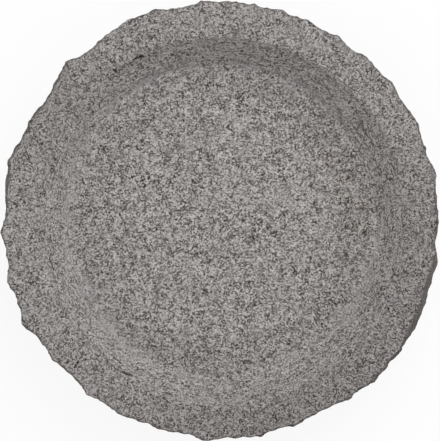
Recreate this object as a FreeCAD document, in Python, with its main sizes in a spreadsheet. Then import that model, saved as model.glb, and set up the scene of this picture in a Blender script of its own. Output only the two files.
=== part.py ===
"""Granite birdbath: a shallow hewn dish with a flaked rim, standing on stuck-on rubber feet.

Millimetres, +Z up. The origin is on the ground under the middle of the dish; -Y is the front, +X the right.
"""

import FreeCAD
import Part
import Sketcher
import math
import os

# Driving dimensions: alias, value, what it measures.
SIZES = [
    ("rim_radius", 200, "nominal radius of the rim, before its flakes"),
    ("edge_stock", 6, "stone outside the nominal rim, for the flakes to be struck from"),
    ("edge_height", 16, "height of the rim's edge"),
    ("rim_width", 32, "width of the rim, from its nominal radius in to the mouth of the basin"),
    ("rim_fall", 3, "drop of the rim's top from the mouth to the edge"),
    ("lip_round", 7, "rounding where the rim turns down into the basin"),
    ("basin_depth", 32, "depth of the floor below the mouth"),
    ("wall_run", 25, "run of the sloping wall, from the mouth in to the floor"),
    ("cove_round", 5, "hollow rounding between wall and floor"),
    ("stone_height", 74, "height of the stone, underside to mouth"),
    ("base_radius", 118, "radius of the sawn underside"),
    ("flank_radius", 108, "radius of the swell of the flank, base to edge"),
    ("flake_bite", 5, "bite of a deep rim flake inside the nominal rim"),
    ("flake_radius", 100, "radius of a middling rim flake"),
    ("hew_bite", 11, "mean depth of the scars hewn on the flank"),
    ("hew_radius", 320, "mean radius of those scars"),
    ("foot_inset", 30, "from the edge of the underside in to the middle of a foot"),
    ("foot_height", 5, "height of a rubber foot"),
    ("foot_radius", 15, "radius of a foot"),
    ("tape_thickness", 1, "thickness of the foam tape"),
    ("tape_margin", 2, "from a foot's edge in to the corners of its square of tape"),
]

# Flakes struck off the rim, anticlockwise from +X seen from above. Each row is a heading in degrees, a bite and a
# radius as multiples of flake_bite and flake_radius (a bite below zero leaves the rim proud of its nominal radius)
# and the scar's lean from upright in degrees, outwards going down. Neighbouring scars meet in a ridge.
RIM_FLAKES = [
    (5, 0.6, 1.8, 4),
    (19.5, 0.65, 1.5, 4),
    (32.5, 0.45, 2.0, 5),
    (43.5, 0.4, 1.0, 6),
    (53, 0.95, 0.6, 4),
    (62, 1.0, 0.75, 1),
    (70, 1.05, 0.55, 1),
    (77.5, 0.75, 0.9, 1),
    (84, 0.5, 1.2, 1),
    (92, 0.45, 1.2, 1),
    (100.5, 0.9, 0.95, 1),
    (111, 0.5, 0.6, 2),
    (119.5, 0.5, 0.7, 4),
    (127, 1.05, 0.6, 8),
    (145.5, 1.4, 1.6, 7),
    (156, 1.05, 1.2, 6),
    (170.5, 0.55, 1.2, 11),
    (177, 1.2, 0.5, 8),
    (189, 1.0, 0.7, 5),
    (201.5, 0.65, 0.52, 7),
    (215, 0.9, 0.6, 9),
    (225.5, 1.15, 0.85, 7),
    (239, 0.8, 1.4, 4),
    (250.5, 0.8, 2.6, 5),
    (260, 0.9, 0.85, 5),
    (274, 0.6, 1.8, 5),
    (286, 0.9, 0.85, 5),
    (297, 0.85, 2.6, 6),
    (308.5, 0.65, 0.32, 10),
    (316, -0.5, 1.0, 17),
    (321, -0.05, 0.35, 18),
    (326.5, -0.15, 0.25, 18),
    (332, -0.35, 2.5, 19),
    (343, 0.1, 3.5, 17),
    (357, 0.7, 1.0, 9),
]

# Two uneven rows of larger scars hewn on the flank.
UPPER_COUNT = 11  # scars in the upper row
UPPER_SHARE = 0.68  # place of that row along the flank, from its base (0) to its edge (1)
LOWER_COUNT = 8  # scars in the lower row
LOWER_SHARE = 0.18  # place of that row
HEADING_SWING = 0.22  # share of a row's pitch by which a scar stands off its even place
RADIUS_SWING = 0.2  # share by which its radius varies
BITE_SWING = 0.25  # share by which its depth varies
UNEVEN_STEP = 137.5  # degrees from one scar to the next in the cosine that makes a row uneven

# Feet: name of the corner and its heading in degrees.
FEET = [("front_left", 225), ("front_right", 315), ("back_right", 45), ("back_left", 135)]

# Heights and runs that several pieces share, as formulas of the sheet.
UNDERSIDE = "(Sizes.foot_height + Sizes.tape_thickness)"
MOUTH_TOP = f"({UNDERSIDE} + Sizes.stone_height)"
EDGE_TOP = f"({MOUTH_TOP} - Sizes.rim_fall)"
EDGE_FOOT = f"({EDGE_TOP} - Sizes.edge_height)"
FLOOR_TOP = f"({MOUTH_TOP} - Sizes.basin_depth)"
MOUTH_RADIUS = "(Sizes.rim_radius - Sizes.rim_width)"
FLOOR_RADIUS = f"({MOUTH_RADIUS} - Sizes.wall_run)"
EDGE_RADIUS = "(Sizes.rim_radius + Sizes.edge_stock)"
FLANK_RUN = f"({EDGE_RADIUS} - Sizes.base_radius)"
FLANK_RISE = f"({EDGE_FOOT} - {UNDERSIDE})"
FLANK_CHORD = f"sqrt({FLANK_RUN}^2 + {FLANK_RISE}^2)"
FOOT_CIRCLE = "(Sizes.base_radius - Sizes.foot_inset)"
TAPE_SIDE = "((Sizes.foot_radius - Sizes.tape_margin) * sqrt(2))"


def make_sheet(doc):
    """The spreadsheet of driving dimensions, one alias a row."""
    sheet = doc.addObject("Spreadsheet::Sheet", "Sizes")
    for row, (alias, value, meaning) in enumerate(SIZES, start=1):
        sheet.set(f"A{row}", alias)
        sheet.set(f"B{row}", str(value))
        sheet.set(f"C{row}", meaning)
        sheet.setAlias(f"B{row}", alias)
    doc.recompute()
    return sheet


def bind(item, formulas):
    """Ties properties of a document object to formulas of the sheet."""
    for path, formula in formulas.items():
        item.setExpression(path, formula)


def evaluate(item, formula):
    """The present value of a formula of the sheet."""
    return float(item.evalExpression(formula))


def polar_place(reach, heading, height):
    """Placement formulas for a point at that reach from the axis, heading in degrees and height."""
    return {
        "Placement.Base.x": f"{reach} * cos({heading} deg)",
        "Placement.Base.y": f"{reach} * sin({heading} deg)",
        "Placement.Base.z": height,
    }


def uneven(count):
    """A value from -1 to 1 that wanders from one count to the next without repeating."""
    return math.cos(math.radians(count * UNEVEN_STEP))


def make_profile(doc, body):
    """Half section of the dish, right of its axis, drawn anticlockwise from the middle of the underside."""
    sketch = body.newObject("Sketcher::SketchObject", "dish_section")
    plane = next(item for item in body.Origin.OriginFeatures if item.Role == "XZ_Plane")
    sketch.AttachmentSupport = (plane, [""])
    sketch.MapMode = "FlatFace"

    places = {
        "underside_centre": ("0", UNDERSIDE),
        "base": ("Sizes.base_radius", UNDERSIDE),
        "edge_foot": (EDGE_RADIUS, EDGE_FOOT),
        "edge_top": (EDGE_RADIUS, EDGE_TOP),
        "mouth": (MOUTH_RADIUS, MOUTH_TOP),
        "wall_foot": (FLOOR_RADIUS, FLOOR_TOP),
        "floor_centre": ("0", FLOOR_TOP),
    }
    at = {name: FreeCAD.Vector(evaluate(sketch, x), evaluate(sketch, z), 0) for name, (x, z) in places.items()}
    lip_start, lip_end, lip = corner_arc(
        at["edge_top"], at["mouth"], at["wall_foot"], evaluate(sketch, "Sizes.lip_round")
    )
    cove_start, cove_end, cove = corner_arc(
        at["mouth"], at["wall_foot"], at["floor_centre"], evaluate(sketch, "Sizes.cove_round")
    )

    underside = sketch.addGeometry(Part.LineSegment(at["underside_centre"], at["base"]))
    flank = sketch.addGeometry(
        swelling_arc(at["base"], at["edge_foot"], evaluate(sketch, "Sizes.flank_radius"))
    )
    edge = sketch.addGeometry(Part.LineSegment(at["edge_foot"], at["edge_top"]))
    rim = sketch.addGeometry(Part.LineSegment(at["edge_top"], lip_start))
    lip = sketch.addGeometry(lip)
    wall = sketch.addGeometry(Part.LineSegment(lip_end, cove_start))
    cove = sketch.addGeometry(cove)
    floor = sketch.addGeometry(Part.LineSegment(cove_end, at["floor_centre"]))
    axis = sketch.addGeometry(Part.LineSegment(at["floor_centre"], at["underside_centre"]))
    mouth = sketch.addGeometry(Part.Point(at["mouth"]), True)
    wall_foot = sketch.addGeometry(Part.Point(at["wall_foot"]), True)

    start, end = 1, 2
    chain = [underside, flank, edge, rim]
    for before, after in [*zip(chain, chain[1:]), (floor, axis), (axis, underside)]:
        sketch.addConstraint(Sketcher.Constraint("Coincident", before, end, after, start))
    sketch.addConstraint(Sketcher.Constraint("Tangent", rim, end, lip, start))
    sketch.addConstraint(Sketcher.Constraint("Tangent", lip, end, wall, start))
    sketch.addConstraint(Sketcher.Constraint("Tangent", wall, end, cove, end))
    sketch.addConstraint(Sketcher.Constraint("Tangent", cove, start, floor, start))
    for point, line in ((mouth, rim), (mouth, wall), (wall_foot, wall), (wall_foot, floor)):
        sketch.addConstraint(Sketcher.Constraint("PointOnObject", point, start, line))
    sketch.addConstraint(Sketcher.Constraint("Horizontal", underside))
    sketch.addConstraint(Sketcher.Constraint("Horizontal", floor))
    sketch.addConstraint(Sketcher.Constraint("PointOnObject", floor, end, -2))

    sized = [
        ("underside_centre", underside, ("x", "z")),
        ("base", flank, ("x",)),
        ("edge_foot", edge, ("x", "z")),
        ("edge_top", rim, ("x", "z")),
        ("mouth", mouth, ("x", "z")),
        ("wall_foot", wall_foot, ("x", "z")),
    ]
    for name, piece, axes in sized:
        for axis_name in axes:
            formula = places[name][0 if axis_name == "x" else 1]
            kind = "DistanceX" if axis_name == "x" else "DistanceY"
            tie(sketch, f"{name}_{axis_name}", formula, kind, -1, 1, piece, start)
    tie(sketch, "flank_radius", "Sizes.flank_radius", "Radius", flank)
    tie(sketch, "lip_round", "Sizes.lip_round", "Radius", lip)
    tie(sketch, "cove_round", "Sizes.cove_round", "Radius", cove)
    doc.recompute()
    return sketch


def tie(sketch, name, formula, kind, *places):
    """Adds a named dimension to a sketch, driven by a formula of the sheet."""
    number = sketch.addConstraint(Sketcher.Constraint(kind, *places, evaluate(sketch, formula)))
    sketch.renameConstraint(number, name)
    sketch.setExpression(f"Constraints.{name}", formula)


def corner_arc(before, corner, after, radius):
    """Where a rounding of that radius starts and ends on the two legs of a corner, and its arc."""
    back = (before - corner).normalize()
    onward = (after - corner).normalize()
    half = back.getAngle(onward) / 2
    first = corner + back * (radius / math.tan(half))
    last = corner + onward * (radius / math.tan(half))
    centre = corner + (back + onward).normalize() * (radius / math.sin(half))
    turns_left = back.cross(onward).z < 0
    ends = (first, last) if turns_left else (last, first)
    return first, last, arc_between(centre, radius, *ends)


def swelling_arc(first, last, radius):
    """Arc from first anticlockwise to last."""
    chord = last - first
    inward = FreeCAD.Vector(-chord.y, chord.x, 0).normalize()
    rise = math.sqrt(radius**2 - (chord.Length / 2) ** 2)
    return arc_between((first + last) * 0.5 + inward * rise, radius, first, last)


def arc_between(centre, radius, first, last):
    """Arc about a centre, anticlockwise from first to last."""
    circle = Part.Circle(centre, FreeCAD.Vector(0, 0, 1), radius)
    return Part.ArcOfCircle(circle, circle.parameter(first), circle.parameter(last))


def strike_scar(body, name, radius, reach, heading, height):
    """Cuts a spherical scar. Its ball has its seam turned away from the stone."""
    scar = body.newObject("PartDesign::SubtractiveSphere", name)
    scar.Refine = False
    turn = FreeCAD.Rotation(FreeCAD.Vector(0, 0, 1), heading)
    scar.Placement = FreeCAD.Placement(FreeCAD.Vector(0, 0, 0), turn)
    bind(scar, {"Radius": radius, **polar_place(reach, heading, height)})
    return scar


def flake_rim(body):
    """Strikes the rim's flakes. Each ball passes the rim's outline at the foot of its edge, leaning outwards."""
    for number, (heading, bite, size, lean) in enumerate(RIM_FLAKES, start=1):
        radius = f"{size} * Sizes.flake_radius"
        strike_scar(
            body,
            f"rim_flake_{number:02d}",
            f"{radius} / cos({lean} deg)",
            f"(Sizes.rim_radius + {radius} - ({bite}) * Sizes.flake_bite)",
            heading,
            f"{EDGE_FOOT} + {radius} * tan({lean} deg)",
        )


def hew_flank(body):
    """Hews uneven rows of scars on the flank, each ball set out along the flank's outward normal."""
    for row, count, share in (("upper", UPPER_COUNT, UPPER_SHARE), ("lower", LOWER_COUNT, LOWER_SHARE)):
        swell = (
            f"(sqrt(Sizes.flank_radius^2 - ({share - 0.5} * {FLANK_CHORD})^2)"
            f" - sqrt(Sizes.flank_radius^2 - {FLANK_CHORD}^2 / 4))"
        )
        for number in range(count):
            pitch = 360 / count
            heading = round(pitch * (number + HEADING_SWING * uneven(number)), 2)
            radius = f"(Sizes.hew_radius * {1 + RADIUS_SWING * uneven(2 * number + 1):.3f})"
            bite = f"(Sizes.hew_bite * {1 + BITE_SWING * uneven(3 * number + 2):.3f})"
            stand_off = f"(({radius} - {bite} + {swell}) / {FLANK_CHORD})"
            strike_scar(
                body,
                f"{row}_hewn_{number + 1:02d}",
                radius,
                f"(Sizes.base_radius + {share} * {FLANK_RUN} + {stand_off} * {FLANK_RISE})",
                heading,
                f"{UNDERSIDE} + {share} * {FLANK_RISE} - {stand_off} * {FLANK_RUN}",
            )


def make_bowl(doc):
    """The granite bowl: a turned blank with its rounded basin, then the flaked rim and the hewn flank."""
    body = doc.addObject("PartDesign::Body", "granite_bowl")
    section = make_profile(doc, body)
    blank = body.newObject("PartDesign::Revolution", "turned_blank")
    blank.Profile = section
    blank.ReferenceAxis = (section, ["V_Axis"])
    blank.Angle = 360
    doc.recompute()
    hew_flank(body)
    flake_rim(body)
    doc.recompute()
    return body


def make_foot(doc, corner, heading):
    """A rubber foot: a thick round pad that stands on the ground."""
    foot = doc.addObject("Part::Cylinder", f"foot_{corner}")
    bind(foot, {"Radius": "Sizes.foot_radius", "Height": "Sizes.foot_height"})
    bind(foot, polar_place(FOOT_CIRCLE, heading, "0"))
    return foot


def make_tape(doc, corner, heading):
    """A square of foam tape between a foot and the sawn underside."""
    tape = doc.addObject("Part::Box", f"tape_{corner}")
    bind(tape, {"Length": TAPE_SIDE, "Width": TAPE_SIDE, "Height": "Sizes.tape_thickness"})
    place = polar_place(FOOT_CIRCLE, heading, "Sizes.foot_height")
    for axis in ("x", "y"):
        place[f"Placement.Base.{axis}"] += f" - {TAPE_SIDE} / 2"
    bind(tape, place)
    return tape


def check(doc, pieces):
    """Stops if an object failed to build or a piece isn't one valid solid."""
    for item in doc.Objects:
        if "Invalid" in item.State or "Error" in item.State:
            raise RuntimeError(f"{item.Label} failed to build: {item.State}")
    for piece in pieces:
        shape = piece.Shape
        if shape.isNull() or not shape.isValid() or len(shape.Solids) != 1:
            raise RuntimeError(f"{piece.Label} is not one valid solid")


def main():
    doc = FreeCAD.newDocument("birdbath")
    make_sheet(doc)
    pieces = [make_bowl(doc)]
    for corner, heading in FEET:
        pieces.append(make_foot(doc, corner, heading))
        pieces.append(make_tape(doc, corner, heading))
    doc.recompute()
    check(doc, pieces)
    os.makedirs("parts", exist_ok=True)
    for piece in pieces:
        piece.Shape.exportStep(f"parts/{piece.Label}.step")
        print(f"{piece.Label}: {piece.Shape.Volume / 1000:.1f} cm3")


main()
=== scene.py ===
"""Looks of the granite birdbath: a hewn and flaked stone dish on rubber feet, seen from straight above."""

import math
from collections import namedtuple

import bmesh
import bpy
from mathutils import Matrix, Vector, noise
from mathutils.bvhtree import BVHTree


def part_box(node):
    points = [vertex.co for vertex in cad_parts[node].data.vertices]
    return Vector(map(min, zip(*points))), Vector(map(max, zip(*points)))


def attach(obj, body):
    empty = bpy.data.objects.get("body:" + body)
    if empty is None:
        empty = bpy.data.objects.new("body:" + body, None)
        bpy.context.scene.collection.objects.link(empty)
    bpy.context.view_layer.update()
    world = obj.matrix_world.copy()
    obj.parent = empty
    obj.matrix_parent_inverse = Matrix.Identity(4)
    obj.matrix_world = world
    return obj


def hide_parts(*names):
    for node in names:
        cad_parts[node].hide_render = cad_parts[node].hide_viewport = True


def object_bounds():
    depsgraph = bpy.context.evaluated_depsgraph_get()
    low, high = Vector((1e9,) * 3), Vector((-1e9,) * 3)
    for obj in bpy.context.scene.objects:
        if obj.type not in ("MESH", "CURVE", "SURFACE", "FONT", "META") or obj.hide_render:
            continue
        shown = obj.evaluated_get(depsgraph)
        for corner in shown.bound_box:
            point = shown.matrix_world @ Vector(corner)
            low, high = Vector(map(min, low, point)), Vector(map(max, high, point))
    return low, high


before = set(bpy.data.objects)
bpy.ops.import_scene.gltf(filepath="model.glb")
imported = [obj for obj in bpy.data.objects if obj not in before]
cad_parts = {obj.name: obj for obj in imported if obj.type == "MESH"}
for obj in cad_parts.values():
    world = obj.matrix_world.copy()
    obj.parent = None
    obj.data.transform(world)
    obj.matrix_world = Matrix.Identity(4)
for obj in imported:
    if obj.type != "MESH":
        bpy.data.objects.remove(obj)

bl_info = {
    "name": "Granite birdbath",
    "version": (1, 0, 0),
    "blender": (4, 5, 0),
    "location": "3D View > Sidebar > Birdbath",
    "description": "Dresses the birdbath's solids as hewn granite, moulded rubber and foam tape",
    "category": "Object",
}

# From the imported solids: the whole box and the height of the stone's underside, in metres, and the names of
# the corners that the feet stand at.
CAD_LOW, CAD_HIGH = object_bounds()
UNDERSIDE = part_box("granite_bowl")[0].z
CORNERS = [name.removeprefix("foot_") for name in sorted(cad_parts) if name.startswith("foot_")]

# Heights and radii of the dressed faces of the bowl, as the solids have them.
FLOOR_TOP = 0.048
EDGE_FOOT = 0.061
EDGE_TOP = 0.077
MOUTH_TOP = 0.080
FLOOR_RADIUS = 0.143
MOUTH_RADIUS = 0.168
RIM_RADIUS = 0.200
RIM_SLOPE = 3 / 32
WALL_SLOPE = 32 / 25

# How the basin varies round its circle. Each row is a heading in degrees, how far the foot of the wall and
# the lip lie in from their true circles in metres, how worn the lip is, how weathered the rim and how much
# painted shade it carries, how scuffed the stone is by the foot of the wall, and how much painted shade
# darkens the floor near that foot, each from 0 to 1.
ROUND_NAMES = ("foot_in", "lip_in", "worn", "weathered_and_painted_shade", "scuffed", "silted")
ROUND_THE_BASIN = [
    (-180, 0.0030, 0.0015, 0.6, 0.33, 0.8, 0.3),
    (-150, 0.0040, 0.0015, 0.3, 0.35, 1.0, 0.3),
    (-120, -0.0010, 0.0010, 0.2, 0.48, 0.7, 0.3),
    (-90, -0.0030, 0.0020, 0.0, 0.74, 0.2, 0.3),
    (-60, 0.0030, 0.0030, 0.0, 0.83, 0.3, 0.3),
    (-30, 0.0005, 0.0015, 0.3, 0.80, 0.7, 0.5),
    (0, -0.0015, 0.0005, 0.5, 0.78, 0.1, 0.8),
    (30, 0.0035, 0.0000, 0.0, 0.49, 0.0, 0.8),
    (60, 0.0000, 0.0015, 0.0, 0.43, 0.8, 0.3),
    (90, -0.0010, 0.0020, 0.1, 0.45, 0.6, 0.3),
    (120, -0.0010, 0.0010, 1.0, 0.47, 0.8, 0.3),
    (150, 0.0010, 0.0010, 1.0, 0.70, 0.9, 0.3),
    (180, 0.0030, 0.0015, 0.6, 0.33, 0.8, 0.3),
]

# The share of the lip's rounding that is filled to a crisp corner where the lip isn't worn, and how far
# from the lip its wear reaches, in metres.
LIP_CRISPNESS = 0.6
WEAR_REACH = 0.016

# How far the foot draws the floor along, and how far the lip draws the rim along, in metres.
FLOOR_DRAWN = 0.04
RIM_DRAWN = 0.02

# How weathered the top of the wall is, from 0 to 1.
WALL_WEATHER = 0.28

# What a full scuff adds to the tone of the grains, and to the spread and strength of the bruised patches.
SCUFF_TONE = 0.035
SCUFF_SPREAD = 0.12
SCUFF_STRENGTH = 0.1

# The scars of the split edge are taller than wide: their pattern's height is read at this share.
EDGE_SCAR_SQUASH = 0.35

# Heights of the coarse and fine roughness of split stone, in metres.
SPLIT_COARSE = 0.0007
SPLIT_FINE = 0.0004

# The hammer's fine unevenness as a share of its broad one, and the share by which the channel's depth varies.
FINE_HAMMER = 0.2
CHANNEL_VARIES = 0.8

# The least reach from the axis that anything is divided by, in metres.
LEAST_REACH = 0.001

# Sizes of the granite's patterns, in metres: clusters of grains, bruised patches, lumps of the hammered
# skin, and the spacing and length of the tool lines.
CLUSTER_SIZE = 0.007
PATCH_SIZE = 0.011
SKIN_SIZE = 0.0018
TOOL_LINE_PITCH = 0.0015
TOOL_LINE_LENGTH = 1 / 33

# Sizes of the patterns on the feet and their tape, in metres. The mould's grain is really about 0.2 mm, and
# is drawn larger so that it shows.
PIMPLE_SIZE = 0.0005
DUST_SIZE = 0.004
CELL_SIZE = 0.0005

# What each vertex of the bowl notes for the granite: how split it is, which also carries painted shade along
# the outline, how pitted, how weathered and darkened by painted shade round the rim, how scuffed, how much
# painted shade darkens the floor near the foot of the wall, and its reach from the axis before the foot of
# the wall and the lip were moved.
NOTES = ("split", "pit", "reach", "weather_and_painted_shade", "scuff", "silt")

# How far a place is split stone, and so on the flank, the edge or the arris, and how far it is dressed
# stone, and so on the wall or rim, or by the lip, each from 0 to 1.
Zones = namedtuple("Zones", "split flank edge arris top wall lip")

# Pits and a crack near the mouth of the basin: middle in metres, heading of the long axis in degrees, and
# half length and half width in metres.
PITS = [
    (-0.0712, 0.1482, 12, 0.0030, 0.0019),
    (-0.0760, 0.1466, 22, 0.0042, 0.0013),
    (-0.0951, 0.1356, -35, 0.0034, 0.0013),
    (-0.0328, 0.1411, 55, 0.0036, 0.0012),
    (-0.0849, -0.1378, -22, 0.0062, 0.0012),
]

# The photograph's frame, the width in it of the stone's outline, and how far right of and below its middle
# the outline's middle lies, in pixels.
PHOTO_WIDTH = 440
OUTLINE_WIDTH = 438.4
OUTLINE_RIGHT = 0.2
OUTLINE_BELOW = 0.4

# How far the studio floor reaches and how far below the feet it lies, in metres, and how much of it glows
# white to the camera.
BOARD_RADIUS = 6.0
BOARD_GAP = 0.0002
BOARD_GLOW = 0.88


def linear(code):
    """Linear colour of an sRGB hex code."""
    shares = [int(code[start : start + 2], 16) / 255 for start in (0, 2, 4)]
    return tuple(share / 12.92 if share <= 0.04045 else ((share + 0.055) / 1.055) ** 2.4 for share in shares)


class StoneSettings(bpy.types.PropertyGroup):
    """Sizes and colours of the granite"""

    mesh_spacing: bpy.props.FloatProperty(
        name="Mesh spacing",
        description="Spacing of the stone's mesh, halved at the rim's edge, the lip and the wall's foot",
        default=0.00275,
        subtype="DISTANCE",
        unit="LENGTH",
    )
    scar_width: bpy.props.FloatProperty(
        name="Scar width",
        description="Width of the small scars on the split edge",
        default=0.011,
        subtype="DISTANCE",
        unit="LENGTH",
    )
    scar_depth: bpy.props.FloatProperty(
        name="Scar depth",
        description="Depth of those scars below the ridges between them",
        default=0.0022,
        subtype="DISTANCE",
        unit="LENGTH",
    )
    chip_depth: bpy.props.FloatProperty(
        name="Chip depth",
        description="Depth of the chips along the rim's arris",
        default=0.0022,
        subtype="DISTANCE",
        unit="LENGTH",
    )
    point_width: bpy.props.FloatProperty(
        name="Point mark width",
        description="Width of the marks that the point left on the hewn flank",
        default=0.017,
        subtype="DISTANCE",
        unit="LENGTH",
    )
    point_depth: bpy.props.FloatProperty(
        name="Point mark depth",
        description="Depth of those marks below the ridges between them",
        default=0.0045,
        subtype="DISTANCE",
        unit="LENGTH",
    )
    hammer_depth: bpy.props.FloatProperty(
        name="Hammer unevenness",
        description="Height of the unevenness that the bush hammer left on rim and wall",
        default=0.0008,
        subtype="DISTANCE",
        unit="LENGTH",
    )
    channel_depth: bpy.props.FloatProperty(
        name="Channel depth",
        description="Depth of the shallow channel in the floor along the foot of the wall",
        default=0.0008,
        subtype="DISTANCE",
        unit="LENGTH",
    )
    wear_depth: bpy.props.FloatProperty(
        name="Lip wear",
        description="How far the lip is worn down where it is softest",
        default=0.0025,
        subtype="DISTANCE",
        unit="LENGTH",
    )
    pit_depth: bpy.props.FloatProperty(
        name="Pit depth",
        description="Depth of the pits near the mouth of the basin",
        default=0.0015,
        subtype="DISTANCE",
        unit="LENGTH",
    )
    grain_size: bpy.props.FloatProperty(
        name="Grain size",
        description="Mean width of a mineral grain",
        default=0.0012,
        subtype="DISTANCE",
        unit="LENGTH",
    )
    fine_grain_size: bpy.props.FloatProperty(
        name="Fine grain size",
        description="Mean width of the fine grains between the larger ones",
        default=0.0007,
        subtype="DISTANCE",
        unit="LENGTH",
    )
    mica: bpy.props.FloatVectorProperty(
        name="Mica",
        description="Colour of the darkest grains",
        size=3,
        subtype="COLOR",
        default=linear("140F0B"),
    )
    smoky_quartz: bpy.props.FloatVectorProperty(
        name="Smoky quartz",
        description="Colour of the dark grains",
        size=3,
        subtype="COLOR",
        default=linear("433E3A"),
    )
    quartz: bpy.props.FloatVectorProperty(
        name="Quartz",
        description="Colour of the middling grains",
        size=3,
        subtype="COLOR",
        default=linear("97928F"),
    )
    feldspar: bpy.props.FloatVectorProperty(
        name="Feldspar",
        description="Colour of the pale grains",
        size=3,
        subtype="COLOR",
        default=linear("CAC5C2"),
    )
    bruise: bpy.props.FloatVectorProperty(
        name="Bruised stone",
        description="Cool grey of the patches that the hammer bruised on wall and rim",
        size=3,
        subtype="COLOR",
        default=linear("989898"),
    )
    # Painted shade: darkens the floor in a ring a little inside the foot of the wall, heavier at headings 0
    # to 30 degrees.
    silt_tint: bpy.props.FloatVectorProperty(
        name="Silt",
        description="What dried silt takes off the colour of the floor towards the foot of the wall",
        size=3,
        subtype="COLOR",
        default=linear("E6E4E1"),
    )
    # Partly weathering and partly painted shade: the rim's share varies by heading and stands in for the
    # shade of an unevenly tilted rim, while the upper wall takes a weathered share.
    weather_and_painted_shade_tint: bpy.props.FloatVectorProperty(
        name="Weathering",
        description="What the weather takes off the colour of the rim, and less of it off the wall below",
        size=3,
        subtype="COLOR",
        default=linear("D0CECE"),
    )
    dirt_tint: bpy.props.FloatVectorProperty(
        name="Dirt",
        description="What the dirt in the pits takes off the stone's colour",
        size=3,
        subtype="COLOR",
        default=linear("403C39"),
    )
    # Partly the split stone's own darker tone and partly painted shade: it darkens the steep split edge and
    # hewn flank, and so the thin dark line they make along the outline seen from above.
    split_tint_and_painted_shade: bpy.props.FloatVectorProperty(
        name="Split stone",
        description="What the split edge and hewn flank take off the stone's colour",
        size=3,
        subtype="COLOR",
        default=linear("A29A94"),
    )


class FootSettings(bpy.types.PropertyGroup):
    """Sizes and colours of the feet and their tape"""

    foot_round: bpy.props.FloatProperty(
        name="Foot rounding",
        description="Rounding of a foot's lower edge",
        default=0.0012,
        subtype="DISTANCE",
        unit="LENGTH",
    )
    foot_draft: bpy.props.FloatProperty(
        name="Foot draft",
        description="How much narrower a foot is at the ground than at the tape, at each side",
        default=0.0005,
        subtype="DISTANCE",
        unit="LENGTH",
    )
    rubber: bpy.props.FloatVectorProperty(
        name="Rubber", description="Colour of the feet", size=3, subtype="COLOR", default=linear("262524")
    )
    tape_bulge: bpy.props.FloatProperty(
        name="Tape bulge",
        description="How far the squeezed tape stands out at the middle of its thickness",
        default=0.0003,
        subtype="DISTANCE",
        unit="LENGTH",
    )
    foam: bpy.props.FloatVectorProperty(
        name="Foam", description="Colour of the tape", size=3, subtype="COLOR", default=linear("E0DED6")
    )


class StageSettings(bpy.types.PropertyGroup):
    """Light, floor and camera"""

    key_strength: bpy.props.FloatProperty(
        name="Key strength", description="Power of the large soft lamp, in watts", default=26.0
    )
    key_heading: bpy.props.FloatProperty(
        name="Key heading",
        description="Direction that the large lamp stands in, from +X towards +Y",
        default=math.radians(65),
        subtype="ANGLE",
        unit="ROTATION",
    )
    key_elevation: bpy.props.FloatProperty(
        name="Key elevation",
        description="Height of the large lamp above the horizon",
        default=math.radians(50),
        subtype="ANGLE",
        unit="ROTATION",
    )
    key_distance: bpy.props.FloatProperty(
        name="Key distance",
        description="From the dish to the large lamp",
        default=2.6,
        subtype="DISTANCE",
        unit="LENGTH",
    )
    key_size: bpy.props.FloatProperty(
        name="Key size", description="Side of the large lamp", default=1.4, subtype="DISTANCE", unit="LENGTH"
    )
    dome_strength: bpy.props.FloatProperty(
        name="Dome strength", description="Light from all round, where 1 is white", default=0.7
    )
    camera_height: bpy.props.FloatProperty(
        name="Camera height",
        description="From the foot of the rim's edge up to the camera",
        default=1.8,
        subtype="DISTANCE",
        unit="LENGTH",
    )
    floor_colour: bpy.props.FloatVectorProperty(
        name="Floor", description="Colour of the floor", size=3, subtype="COLOR", default=linear("FFFFFF")
    )


def smooth_step(low, high, value):
    """0 below low, 1 above high, and a smooth rise between them. Low may be the larger, for a fall."""
    share = min(max((value - low) / (high - low), 0.0), 1.0)
    return share * share * (3 - 2 * share)


def shifted(place, size, seed):
    """A place in noise whose lumps are about that size, moved by a seed."""
    return place / size + Vector((seed, 1.7 * seed, 2.3 * seed))


def ripple(place, size, seed):
    """Smooth noise from -1 to 1."""
    return noise.noise(shifted(place, size, seed))


def scars(place, size, seed):
    """Hollows that meet in sharp ridges, from about -0.3 in a hollow to 0.5 on a ridge."""
    nearest = noise.voronoi(shifted(place, size, seed))[0][0]
    return nearest * nearest - 0.32


def chips(place, size, seed):
    """Scattered hollows, from 0 to 1 at the bottom of one. Many places that could have one are whole."""
    nearest, centres = noise.voronoi(shifted(place, size, seed))
    struck = smooth_step(-0.1, 0.25, noise.noise(3.7 * centres[0]))
    return struck * smooth_step(0.8, 0.2, nearest[0])


def round_basin(place):
    """How the basin varies from its turned form at a place's heading, by name."""
    heading = math.degrees(math.atan2(place.y, place.x))
    for (start, *before), (end, *after) in zip(ROUND_THE_BASIN, ROUND_THE_BASIN[1:]):
        if heading <= end:
            share = smooth_step(start, end, heading)
            return {name: low + (high - low) * share for name, low, high in zip(ROUND_NAMES, before, after)}
    return dict(zip(ROUND_NAMES, ROUND_THE_BASIN[-1][1:]))


def by_turn(place):
    """Whether a place is in the basin near the foot of the wall, or near the lip."""
    reach = place.xy.length
    near = abs(reach - FLOOR_RADIUS + 0.002) < 0.008 or abs(reach - MOUTH_RADIUS) < 0.006
    return near and place.z > FLOOR_TOP - 0.002


def by_rim_edge(place):
    """Whether a place is on the rim's edge or just inside it."""
    return place.z > EDGE_FOOT - 0.008 and place.xy.length > RIM_RADIUS - 0.016


def by_pit(place):
    """Whether a place is on the wall or the rim and within 9 mm of a pit's middle."""
    return place.z > FLOOR_TOP + 0.01 and any((place.xy - Vector(pit[:2])).length < 0.009 for pit in PITS)


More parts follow.
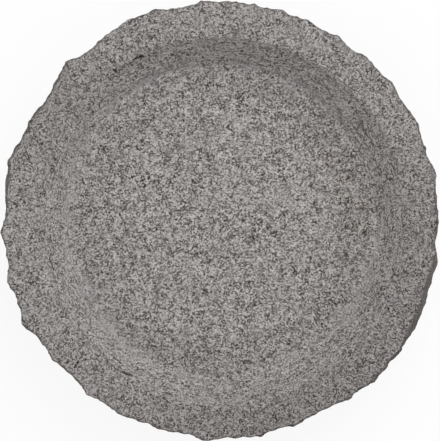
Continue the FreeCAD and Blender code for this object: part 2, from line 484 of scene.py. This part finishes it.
def pitted(place):
    """How far a place lies down in a pit, from 0 outside to 1 at the bottom."""
    deepest = 0.0
    for x, y, turn, half_length, half_width in PITS:
        away = Matrix.Rotation(math.radians(-turn), 2) @ Vector((place.x - x, place.y - y))
        deepest = max(deepest, smooth_step(1.0, 0.5, math.hypot(away.x / half_length, away.y / half_width)))
    return deepest


def add_node(tree, kind, inputs=None, **settings):
    """Adds a node with its settings, and with values or links on its inputs."""
    node = tree.nodes.new(kind)
    for name, value in settings.items():
        setattr(node, name, value)
    for socket, value in (inputs or {}).items():
        if isinstance(value, bpy.types.NodeSocket):
            tree.links.new(value, node.inputs[socket])
        else:
            node.inputs[socket].default_value = value
    return node


def new_material(name):
    """An empty node material and its tree."""
    material = bpy.data.materials.new(name)
    material.use_nodes = True
    material.node_tree.nodes.clear()
    return material, material.node_tree


def new_piece(name, bm, material, node):
    """Makes a piece that stands for a CAD node, gives it its material, hangs it on the root body and hides
    the node.
    """
    mesh = bpy.data.meshes.new(name)
    bm.to_mesh(mesh)
    bm.free()
    mesh.materials.append(material)
    piece = bpy.data.objects.new(name, mesh)
    bpy.context.scene.collection.objects.link(piece)
    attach(piece, "root")
    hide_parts(node)
    return piece


def even_stone(spacing):
    """The CAD bowl as an even mesh of that spacing, finer at the rim's edge, lip, wall's foot and pits."""
    bm = bmesh.new()
    bm.from_mesh(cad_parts["granite_bowl"].data)
    bmesh.ops.remove_doubles(bm, verts=bm.verts, dist=1e-6)
    true_faces = BVHTree.FromBMesh(bm)
    mesh = bpy.data.meshes.new("bowl_blank")
    bm.to_mesh(mesh)
    bm.free()
    blank = bpy.data.objects.new("bowl_blank", mesh)
    bpy.context.scene.collection.objects.link(blank)
    remesh = blank.modifiers.new("even_mesh", "REMESH")
    remesh.mode = "VOXEL"
    remesh.voxel_size = spacing
    even = bpy.data.meshes.new_from_object(blank.evaluated_get(bpy.context.evaluated_depsgraph_get()))
    bpy.data.objects.remove(blank)

    bm = bmesh.new()
    bm.from_mesh(even)
    bpy.data.meshes.remove(even)
    for near, cuts in ((by_rim_edge, 1), (by_turn, 1), (by_pit, 2)):
        fine = {vert for vert in bm.verts if near(vert.co)}
        edges = [edge for edge in bm.edges if all(vert in fine for vert in edge.verts)]
        bmesh.ops.subdivide_edges(bm, edges=edges, cuts=cuts, use_grid_fill=True)
    for vert in bm.verts:
        vert.co = true_faces.find_nearest(vert.co)[0]
    return bm


def stone_zones(place, normal):
    """How far a place belongs to each zone of the bowl, whose face points along the normal there."""
    reach = place.xy.length
    outward = normal.xy.dot(place.xy) / max(reach, LEAST_REACH)
    stone = smooth_step(0.0003, 0.002, place.z - UNDERSIDE)
    split = stone * max(smooth_step(0.35, 0.75, outward), smooth_step(0.1, -0.3, normal.z))
    top = stone * (1 - split)
    wall = top * smooth_step(FLOOR_TOP + 0.002, FLOOR_TOP + 0.01, place.z)
    return Zones(
        split=split,
        flank=split * smooth_step(EDGE_FOOT + 0.002, EDGE_FOOT - 0.01, place.z),
        edge=split * smooth_step(EDGE_FOOT - 0.01, EDGE_FOOT + 0.002, place.z),
        arris=4 * split * (1 - split) * smooth_step(EDGE_FOOT + 0.004, EDGE_TOP - 0.002, place.z),
        top=top,
        wall=wall,
        lip=wall * smooth_step(0.012, 0.004, abs(reach - MOUTH_RADIUS)),
    )


def wander(place, zones, here, settings):
    """Draws a place in with the foot of the wall and the lip, and sharpens or wears the lip."""
    reach = place.xy.length
    past = reach - MOUTH_RADIUS
    if reach < FLOOR_RADIUS:
        drawn = here["foot_in"] * smooth_step(FLOOR_RADIUS - FLOOR_DRAWN, FLOOR_RADIUS, reach)
    elif reach < MOUTH_RADIUS:
        drawn = here["lip_in"] + (here["lip_in"] - here["foot_in"]) * past / (MOUTH_RADIUS - FLOOR_RADIUS)
    else:
        drawn = here["lip_in"] * smooth_step(RIM_DRAWN, 0.0, past)
    place.xy *= 1 - zones.top * drawn / max(reach, LEAST_REACH)

    corner = MOUTH_TOP - max(past * RIM_SLOPE, -past * WALL_SLOPE)
    whole = LIP_CRISPNESS * (1 - here["worn"]) * smooth_step(0.006, 0.004, abs(past))
    place.z += zones.wall * whole * max(corner - place.z, 0.0)
    place.z -= zones.wall * here["worn"] * settings.wear_depth * smooth_step(WEAR_REACH, 0.0, abs(past))


def tool_marks(place, reach, zones, settings):
    """How far the mason's tools left a place out of the bowl's face, below zero where they cut in."""
    # The scars of the split edge run through it from its top to its foot.
    upright = Vector((place.x, place.y, EDGE_SCAR_SQUASH * place.z))
    marks = zones.edge * settings.scar_depth * scars(upright, settings.scar_width, seed=3)
    marks += zones.flank * settings.point_depth * scars(place, settings.point_width, seed=7)
    coarse = SPLIT_COARSE * ripple(upright, size=0.005, seed=5)
    fine = SPLIT_FINE * ripple(place, size=0.0026, seed=11)
    marks += zones.split * (coarse + fine)
    marks -= zones.arris * settings.chip_depth * chips(place, size=0.009, seed=13)
    marks += zones.wall * settings.hammer_depth * ripple(place, size=0.03, seed=19)
    marks -= zones.lip * settings.hammer_depth * chips(place, size=0.016, seed=23)
    marks += zones.top * settings.hammer_depth * FINE_HAMMER * ripple(place, size=0.006, seed=17)
    channel = zones.top * smooth_step(FLOOR_RADIUS - 0.009, FLOOR_RADIUS - 0.0035, reach)
    channel *= smooth_step(FLOOR_RADIUS + 0.0015, FLOOR_RADIUS - 0.0015, reach)
    return marks - channel * settings.channel_depth * (1 + CHANNEL_VARIES * ripple(place, size=0.04, seed=29))


def wear_notes(reach, top, here):
    """How weathered, scuffed and darkened by painted shade the stone is at a reach from the axis.

    Weather dulls the rim and, less and less, the wall below it; round the rim painted shade that varies by
    heading darkens it too. Scuffs lie by the foot of the wall, and painted shade darkens the floor in a ring
    a little inside it.
    """
    on_rim = smooth_step(MOUTH_RADIUS - 0.002, MOUTH_RADIUS + 0.002, reach)
    down_wall = WALL_WEATHER * smooth_step(FLOOR_RADIUS + 0.006, MOUTH_RADIUS + 0.002, reach)
    scuffs = smooth_step(FLOOR_RADIUS - 0.012, FLOOR_RADIUS - 0.006, reach)
    scuffs *= smooth_step(FLOOR_RADIUS + 0.009, FLOOR_RADIUS + 0.001, reach)
    # Painted shade darkens the floor in a ring that ends a little inside the foot of the wall.
    silt = smooth_step(FLOOR_RADIUS - 0.045, FLOOR_RADIUS - 0.023, reach)
    silt *= smooth_step(FLOOR_RADIUS + 0.002, FLOOR_RADIUS - 0.010, reach)
    return {
        "weather_and_painted_shade": down_wall + (here["weathered_and_painted_shade"] - down_wall) * on_rim,
        "scuff": top * here["scuffed"] * scuffs,
        "silt": top * here["silted"] * silt,
    }


def roughen(bm, settings):
    """Leaves the marks of tools and wear on the bowl, and notes on each vertex what its stone is like."""
    bm.normal_update()
    layers = {name: bm.verts.layers.float.new(name) for name in NOTES}
    places = []
    for vert in bm.verts:
        place = vert.co.copy()
        reach = place.xy.length
        zones = stone_zones(place, vert.normal)
        here = round_basin(place)
        wander(place, zones, here, settings)
        pit = zones.wall * pitted(place)
        move = tool_marks(place, reach, zones, settings) - settings.pit_depth * pit
        places.append(place + vert.normal * move)
        notes = {"split": zones.split, "pit": pit, "reach": reach, **wear_notes(reach, zones.top, here)}
        for name, note in notes.items():
            vert[layers[name]] = note

    # The split stone's darker tone, which is partly painted shade along the outline, reaches a little way
    # over the arris and widens the painted dark line there.
    split = layers["split"]
    split_and_painted_shades = []
    for vert in bm.verts:
        beside = max(edge.other_vert(vert)[split] for edge in vert.link_edges)
        split_and_painted_shades.append(max(vert[split], 0.5 * beside))
    for vert, place, shade in zip(bm.verts, places, split_and_painted_shades):
        vert.co = place
        vert[split] = shade
    for face in bm.faces:
        face.smooth = True
    bm.normal_update()


def granite(settings):
    """Medium-grained grey granite, bush-hammered above and split below.

    Pale feldspar, grey quartz and dark mica give a close warm-grey speckle. The hammer dulls it to a matt
    skin, most on wall and rim, where it bruised the stone to cool grey patches. Split faces are darker,
    partly from their own tone and partly from painted shade.
    """
    material, tree = new_material("bush_hammered_granite")
    place = add_node(tree, "ShaderNodeTexCoord").outputs["Object"]
    noted = {}
    for name in NOTES:
        noted[name] = add_node(tree, "ShaderNodeAttribute", attribute_name=name).outputs["Fac"]
    raised = add_node(
        tree,
        "ShaderNodeMapRange",
        {"Value": noted["reach"], "From Min": FLOOR_RADIUS - 0.001, "From Max": FLOOR_RADIUS + 0.001},
    ).outputs[0]
    rim = add_node(
        tree,
        "ShaderNodeMapRange",
        {"Value": noted["reach"], "From Min": MOUTH_RADIUS - 0.002, "From Max": MOUTH_RADIUS + 0.002},
    ).outputs[0]

    # Grains: two sizes of crystal, and on the floor looser clusters of dark and pale ones.
    grains = add_node(tree, "ShaderNodeTexVoronoi", {"Vector": place, "Scale": 1 / settings.grain_size})
    grain = add_node(tree, "ShaderNodeSeparateColor", {0: grains.outputs["Color"]}).outputs["Red"]
    fine_grains = add_node(
        tree, "ShaderNodeTexVoronoi", {"Vector": place, "Scale": 1 / settings.fine_grain_size}
    )
    fine_grain = add_node(tree, "ShaderNodeSeparateColor", {0: fine_grains.outputs["Color"]}).outputs["Red"]
    tone = add_node(tree, "ShaderNodeMix", {0: 0.45, 2: grain, 3: fine_grain}).outputs[0]
    clusters = add_node(
        tree, "ShaderNodeTexNoise", {"Vector": place, "Scale": 1 / CLUSTER_SIZE, "Detail": 2.0}
    ).outputs[0]
    swing = add_node(tree, "ShaderNodeMapRange", {"Value": raised, "To Min": 0.5, "To Max": 0.25}).outputs[0]
    middle = add_node(tree, "ShaderNodeMapRange", {"Value": raised, "To Min": 0.5, "To Max": 0.42}).outputs[0]
    centred = add_node(tree, "ShaderNodeMath", {0: clusters, 1: middle}, operation="SUBTRACT").outputs[0]
    tone = add_node(
        tree, "ShaderNodeMath", {0: centred, 1: swing, 2: tone}, operation="MULTIPLY_ADD"
    ).outputs[0]

    # Fine tool lines run round the wall.
    along = (1 / TOOL_LINE_LENGTH, 1 / TOOL_LINE_LENGTH, 0)
    spread = add_node(tree, "ShaderNodeVectorMath", {0: place, 1: along}, operation="MULTIPLY").outputs[0]
    across = add_node(
        tree, "ShaderNodeMath", {0: noted["reach"], 1: 1 / TOOL_LINE_PITCH}, operation="MULTIPLY"
    ).outputs[0]
    across = add_node(tree, "ShaderNodeCombineXYZ", {"Z": across}).outputs[0]
    spread = add_node(tree, "ShaderNodeVectorMath", {0: spread, 1: across}, operation="ADD").outputs[0]
    lines = add_node(tree, "ShaderNodeTexNoise", {"Vector": spread, "Scale": 1.0, "Detail": 1.0}).outputs[0]
    tooled = add_node(tree, "ShaderNodeMapRange", {"Value": rim, "To Min": raised, "To Max": 0.0}).outputs[0]
    dressed = add_node(
        tree, "ShaderNodeMapRange", {"Value": noted["split"], "To Min": 0.4, "To Max": 0.0}
    ).outputs[0]
    tooled = add_node(tree, "ShaderNodeMath", {0: tooled, 1: dressed}, operation="MULTIPLY").outputs[0]
    lines = add_node(tree, "ShaderNodeMath", {0: lines, 1: 0.5}, operation="SUBTRACT").outputs[0]
    tone = add_node(
        tree, "ShaderNodeMath", {0: lines, 1: tooled, 2: tone}, operation="MULTIPLY_ADD"
    ).outputs[0]

    # Scuffs powder the grains along the foot of the wall, which lightens them.
    tone = add_node(
        tree, "ShaderNodeMath", {0: noted["scuff"], 1: SCUFF_TONE, 2: tone}, operation="MULTIPLY_ADD"
    ).outputs[0]
    minerals = add_node(tree, "ShaderNodeValToRGB", {0: tone})
    stops = [
        (0.18, settings.mica),
        (0.34, settings.smoky_quartz),
        (0.53, settings.quartz),
        (0.82, settings.feldspar),
    ]
    elements = minerals.color_ramp.elements
    while len(elements) < len(stops):
        elements.new(1.0)
    for element, (position, colour) in zip(elements, stops):
        element.position = position
        element.color = (*colour, 1.0)

    # Bruised patches, fainter on the floor, and closer and stronger where the foot of the wall is scuffed.
    patches = add_node(
        tree, "ShaderNodeTexNoise", {"Vector": place, "Scale": 1 / PATCH_SIZE, "Detail": 2.0}
    ).outputs[0]
    patches = add_node(
        tree, "ShaderNodeMath", {0: noted["scuff"], 1: SCUFF_SPREAD, 2: patches}, operation="MULTIPLY_ADD"
    ).outputs[0]
    strongest = add_node(
        tree, "ShaderNodeMapRange", {"Value": raised, "To Min": 0.3, "To Max": 0.4}
    ).outputs[0]
    strongest = add_node(
        tree, "ShaderNodeMath", {0: noted["scuff"], 1: SCUFF_STRENGTH, 2: strongest}, operation="MULTIPLY_ADD"
    ).outputs[0]
    bruised = add_node(
        tree,
        "ShaderNodeMapRange",
        {"Value": patches, "From Min": 0.42, "From Max": 0.72, "To Max": strongest},
    ).outputs[0]
    colour = add_node(
        tree,
        "ShaderNodeMix",
        {0: bruised, 6: minerals.outputs[0], 7: (*settings.bruise, 1.0)},
        data_type="RGBA",
    ).outputs[2]

    # Painted shade near the foot of the wall, weathering and painted shade on the rim, and dirt in the pits
    # darken the stone, and split faces are darker, partly from painted shade.
    for share, tint in (
        (noted["silt"], settings.silt_tint),
        (noted["weather_and_painted_shade"], settings.weather_and_painted_shade_tint),
        (noted["split"], settings.split_tint_and_painted_shade),
        (noted["pit"], settings.dirt_tint),
    ):
        colour = add_node(
            tree,
            "ShaderNodeMix",
            {0: share, 6: colour, 7: (*tint, 1.0)},
            data_type="RGBA",
            blend_type="MULTIPLY",
        ).outputs[2]

    roughness = add_node(
        tree, "ShaderNodeMapRange", {"Value": tone, "To Min": 0.85, "To Max": 0.65}
    ).outputs[0]
    skin = add_node(
        tree, "ShaderNodeTexNoise", {"Vector": place, "Scale": 1 / SKIN_SIZE, "Detail": 3.0}
    ).outputs[0]
    bump = add_node(tree, "ShaderNodeBump", {"Strength": 0.6, "Distance": 0.0006, "Height": skin}).outputs[0]
    shader = add_node(
        tree,
        "ShaderNodeBsdfPrincipled",
        {"Base Color": colour, "Roughness": roughness, "Normal": bump, "IOR": 1.5},
    )
    add_node(tree, "ShaderNodeOutputMaterial", {"Surface": shader.outputs[0]})
    return material


def moulded_rubber(settings):
    """Moulded rubber: near black and matt, with a spark-eroded mould's fine pimples and greyish dust."""
    material, tree = new_material("moulded_rubber")
    place = add_node(tree, "ShaderNodeTexCoord").outputs["Object"]
    pimples = add_node(tree, "ShaderNodeTexVoronoi", {"Vector": place, "Scale": 1 / PIMPLE_SIZE})
    dust = add_node(
        tree, "ShaderNodeTexNoise", {"Vector": place, "Scale": 1 / DUST_SIZE, "Detail": 4.0}
    ).outputs[0]
    share = add_node(
        tree, "ShaderNodeMapRange", {"Value": dust, "From Min": 0.45, "From Max": 0.75, "To Max": 0.25}
    ).outputs[0]
    colour = add_node(
        tree,
        "ShaderNodeMix",
        {0: share, 6: (*settings.rubber, 1.0), 7: (*linear("6B6762"), 1.0)},
        data_type="RGBA",
    ).outputs[2]
    roughness = add_node(
        tree, "ShaderNodeMapRange", {"Value": dust, "To Min": 0.6, "To Max": 0.85}
    ).outputs[0]
    bump = add_node(
        tree,
        "ShaderNodeBump",
        {"Strength": 0.3, "Distance": 0.0001, "Height": pimples.outputs["Distance"]},
    ).outputs[0]
    shader = add_node(
        tree,
        "ShaderNodeBsdfPrincipled",
        {"Base Color": colour, "Roughness": roughness, "Normal": bump, "IOR": 1.52},
    )
    add_node(tree, "ShaderNodeOutputMaterial", {"Surface": shader.outputs[0]})
    return material


def closed_cell_foam(settings):
    """Closed-cell foam: off-white and matt, with cut cells as small pits that hold a little shade."""
    material, tree = new_material("closed_cell_foam")
    place = add_node(tree, "ShaderNodeTexCoord").outputs["Object"]
    cells = add_node(tree, "ShaderNodeTexVoronoi", {"Vector": place, "Scale": 1 / CELL_SIZE})
    shade = add_node(
        tree,
        "ShaderNodeMapRange",
        {"Value": cells.outputs["Distance"], "From Max": 0.5, "To Min": 0.7, "To Max": 1.0},
    ).outputs[0]
    colour = add_node(
        tree,
        "ShaderNodeMix",
        {0: shade, 6: (*linear("A8A59B"), 1.0), 7: (*settings.foam, 1.0)},
        data_type="RGBA",
    ).outputs[2]
    bump = add_node(
        tree,
        "ShaderNodeBump",
        {"Strength": 0.5, "Distance": 0.0002, "Height": cells.outputs["Distance"]},
    ).outputs[0]
    shader = add_node(
        tree,
        "ShaderNodeBsdfPrincipled",
        {"Base Color": colour, "Roughness": 0.8, "Normal": bump, "IOR": 1.5},
    )
    add_node(tree, "ShaderNodeOutputMaterial", {"Surface": shader.outputs[0]})
    return material


def pale_floor(settings):
    """Matt white studio board: white to the eye of the camera, and faintly grey where the dish shades it."""
    material, tree = new_material("matt_white_board")
    path = add_node(tree, "ShaderNodeLightPath").outputs
    seen = add_node(
        tree, "ShaderNodeMath", {0: path["Is Camera Ray"], 1: path["Is Glossy Ray"]}, operation="MAXIMUM"
    ).outputs[0]
    seen = add_node(
        tree, "ShaderNodeMath", {0: seen, 1: path["Is Transmission Ray"]}, operation="MAXIMUM"
    ).outputs[0]
    board = add_node(
        tree, "ShaderNodeBsdfDiffuse", {"Color": (*settings.floor_colour, 1.0)}
    ).outputs[0]
    white = add_node(tree, "ShaderNodeEmission", {"Strength": 1.0}).outputs[0]
    share = add_node(tree, "ShaderNodeMath", {0: seen, 1: BOARD_GLOW}, operation="MULTIPLY").outputs[0]
    both = add_node(tree, "ShaderNodeMixShader", {0: share, 1: board, 2: white}).outputs[0]
    add_node(tree, "ShaderNodeOutputMaterial", {"Surface": both})
    return material


class BIRDBATH_OT_bowl(bpy.types.Operator):
    """Dresses the bowl as hammered, split and hewn granite"""

    bl_idname = "birdbath.bowl"
    bl_label = "Granite bowl"

    def execute(self, context):
        settings = context.scene.birdbath_stone
        bm = even_stone(settings.mesh_spacing)
        roughen(bm, settings)
        new_piece("hewn_granite_bowl", bm, granite(settings), "granite_bowl")
        return {"FINISHED"}


class BIRDBATH_OT_feet(bpy.types.Operator):
    """Makes the four moulded rubber feet"""

    bl_idname = "birdbath.feet"
    bl_label = "Rubber feet"

    def execute(self, context):
        settings = context.scene.birdbath_feet
        material = moulded_rubber(settings)
        for corner in CORNERS:
            low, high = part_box(f"foot_{corner}")
            radius = (high.x - low.x) / 2
            bm = bmesh.new()
            bmesh.ops.create_cone(
                bm,
                cap_ends=True,
                segments=72,
                radius1=radius - settings.foot_draft,
                radius2=radius,
                depth=high.z - low.z,
                matrix=Matrix.Translation((low + high) / 2),
            )
            ground = [edge for edge in bm.edges if all(vert.co.z < low.z + 1e-5 for vert in edge.verts)]
            bmesh.ops.bevel(
                bm,
                geom=ground,
                offset=settings.foot_round,
                affect="EDGES",
                segments=5,
                profile=0.5,
                material=-1,
            )
            for face in bm.faces:
                face.smooth = True
            foot = new_piece(f"rubber_foot_{corner}", bm, material, f"foot_{corner}")
            foot.data.set_sharp_from_angle(angle=math.radians(50))
        return {"FINISHED"}


class BIRDBATH_OT_tapes(bpy.types.Operator):
    """Makes the four squares of foam tape, squeezed a little under the stone"""

    bl_idname = "birdbath.tapes"
    bl_label = "Foam tape"

    def execute(self, context):
        settings = context.scene.birdbath_feet
        material = closed_cell_foam(settings)
        for corner in CORNERS:
            low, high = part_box(f"tape_{corner}")
            middle = (low + high) / 2
            size = high - low
            bm = bmesh.new()
            bmesh.ops.create_cube(bm, size=1.0, matrix=Matrix.LocRotScale(middle, None, size))
            upright = [edge for edge in bm.edges if abs(edge.verts[0].co.z - edge.verts[1].co.z) > size.z / 2]
            bmesh.ops.subdivide_edges(bm, edges=upright, cuts=3)
            for vert in bm.verts:
                share = 1 - (2 * (vert.co.z - middle.z) / size.z) ** 2
                away = Vector((vert.co.x - middle.x, vert.co.y - middle.y, 0))
                vert.co += away.normalized() * share * settings.tape_bulge
            for face in bm.faces:
                face.smooth = True
            bmesh.ops.recalc_face_normals(bm, faces=bm.faces)
            tape = new_piece(f"foam_tape_{corner}", bm, material, f"tape_{corner}")
            tape.data.set_sharp_from_angle(angle=math.radians(50))
        return {"FINISHED"}


class BIRDBATH_OT_stage(bpy.types.Operator):
    """Lays the floor and sets the light and the camera"""

    bl_idname = "birdbath.stage"
    bl_label = "Stage"

    def execute(self, context):
        scene = context.scene
        settings = scene.birdbath_stage
        scene.view_settings.view_transform = "Standard"

        bm = bmesh.new()
        ground = Matrix.Translation((0, 0, CAD_LOW.z - BOARD_GAP))
        bmesh.ops.create_circle(bm, cap_ends=True, segments=96, radius=BOARD_RADIUS, matrix=ground)
        mesh = bpy.data.meshes.new("studio_floor")
        bm.to_mesh(mesh)
        bm.free()
        mesh.materials.append(pale_floor(settings))
        floor = bpy.data.objects.new("studio_floor", mesh)
        scene.collection.objects.link(floor)

        world = bpy.data.worlds.new("soft_dome")
        world.use_nodes = True
        tree = world.node_tree
        tree.nodes.clear()
        path = add_node(tree, "ShaderNodeLightPath").outputs
        seen = add_node(
            tree,
            "ShaderNodeMath",
            {0: path["Is Camera Ray"], 1: path["Is Transmission Ray"]},
            operation="MAXIMUM",
        ).outputs[0]
        strength = add_node(
            tree, "ShaderNodeMapRange", {"Value": seen, "To Min": settings.dome_strength, "To Max": 1.0}
        ).outputs[0]
        dome = add_node(tree, "ShaderNodeBackground", {"Color": (1, 1, 1, 1), "Strength": strength})
        add_node(tree, "ShaderNodeOutputWorld", {"Surface": dome.outputs[0]})
        scene.world = world

        lamp = bpy.data.lights.new("key_lamp", "AREA")
        lamp.energy = settings.key_strength
        lamp.size = settings.key_size
        key = bpy.data.objects.new("key_lamp", lamp)
        level = math.cos(settings.key_elevation)
        way = Vector(
            (
                level * math.cos(settings.key_heading),
                level * math.sin(settings.key_heading),
                math.sin(settings.key_elevation),
            )
        )
        key.location = way * settings.key_distance
        key.rotation_euler = way.to_track_quat("Z", "Y").to_euler()
        scene.collection.objects.link(key)

        lens = bpy.data.cameras.new("camera")
        lens.sensor_fit = "HORIZONTAL"
        span = 2 * RIM_RADIUS * PHOTO_WIDTH / OUTLINE_WIDTH
        lens.lens = lens.sensor_width * settings.camera_height / span
        lens.shift_x = -OUTLINE_RIGHT / PHOTO_WIDTH
        lens.shift_y = OUTLINE_BELOW / PHOTO_WIDTH
        camera = bpy.data.objects.new("camera", lens)
        camera.location = (0, 0, EDGE_FOOT + settings.camera_height)
        scene.collection.objects.link(camera)
        scene.camera = camera
        return {"FINISHED"}


class BIRDBATH_PT_build(bpy.types.Panel):
    """Lists the steps that dress the birdbath"""

    bl_label = "Granite birdbath"
    bl_idname = "BIRDBATH_PT_build"
    bl_space_type = "VIEW_3D"
    bl_region_type = "UI"
    bl_category = "Birdbath"

    def draw(self, context):
        for operator in OPERATORS:
            self.layout.operator(operator.bl_idname)
        for owner, group in SETTINGS.items():
            box = self.layout.box()
            for name in group.__annotations__:
                box.prop(getattr(context.scene, owner), name)


SETTINGS = {
    "birdbath_stone": StoneSettings,
    "birdbath_feet": FootSettings,
    "birdbath_stage": StageSettings,
}
OPERATORS = [BIRDBATH_OT_bowl, BIRDBATH_OT_feet, BIRDBATH_OT_tapes, BIRDBATH_OT_stage]
CLASSES = [*SETTINGS.values(), *OPERATORS, BIRDBATH_PT_build]


def register():
    for item in CLASSES:
        bpy.utils.register_class(item)
    for owner, group in SETTINGS.items():
        setattr(bpy.types.Scene, owner, bpy.props.PointerProperty(type=group))


def unregister():
    for owner in SETTINGS:
        delattr(bpy.types.Scene, owner)
    for item in reversed(CLASSES):
        bpy.utils.unregister_class(item)


def main():
    register()
    bpy.ops.birdbath.bowl()
    bpy.ops.birdbath.feet()
    bpy.ops.birdbath.tapes()
    bpy.ops.birdbath.stage()


if __name__ == "__main__":
    main()
